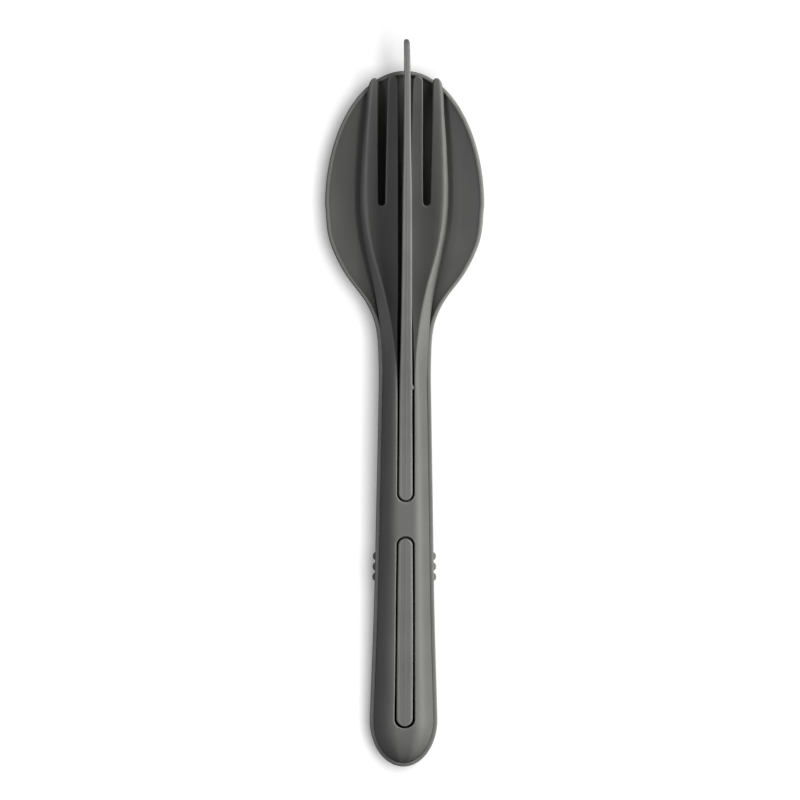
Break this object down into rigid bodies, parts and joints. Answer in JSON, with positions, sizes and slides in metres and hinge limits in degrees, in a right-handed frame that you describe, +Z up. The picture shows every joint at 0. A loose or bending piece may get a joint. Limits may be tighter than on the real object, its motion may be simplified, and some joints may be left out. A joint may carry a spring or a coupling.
{
  "type": "picnic cutlery set",
  "caption": "Nesting travel cutlery in dark grey plastic: a spoon with a channel handle holds a fork, and a knife stands on edge in the fork's slots.",
  "frame": {"origin": "bottom centre of the whole nested set: on the ground, midway between its two sides and midway along its length", "axes": "+X across the set to the right, +Y from the handle to the bowl and the knife's tip, +Z up out of the bowl"},
  "size_m": [0.0456, 0.208, 0.0256],
  "materials": {
    "spoon_plastic": "matte, finely textured",
    "fork_plastic": "matte, finely textured",
    "knife_plastic": "matte, finely textured"
  },
  "bodies": {
    "spoon": {"spoon": "spoon_plastic"},
    "knife": {"knife": "knife_plastic"},
    "fork": {"fork": "fork_plastic"}
  },
  "joints": [
    {"name": "knife_lift", "type": "slide", "parent": "spoon", "child": "knife", "axis": [0, 0, 1], "range_m": [0, 0.03]},
    {"name": "fork_lift", "type": "slide", "parent": "knife", "child": "fork", "axis": [0, 0, 1], "range_m": [0, 0.04]}
  ]
}
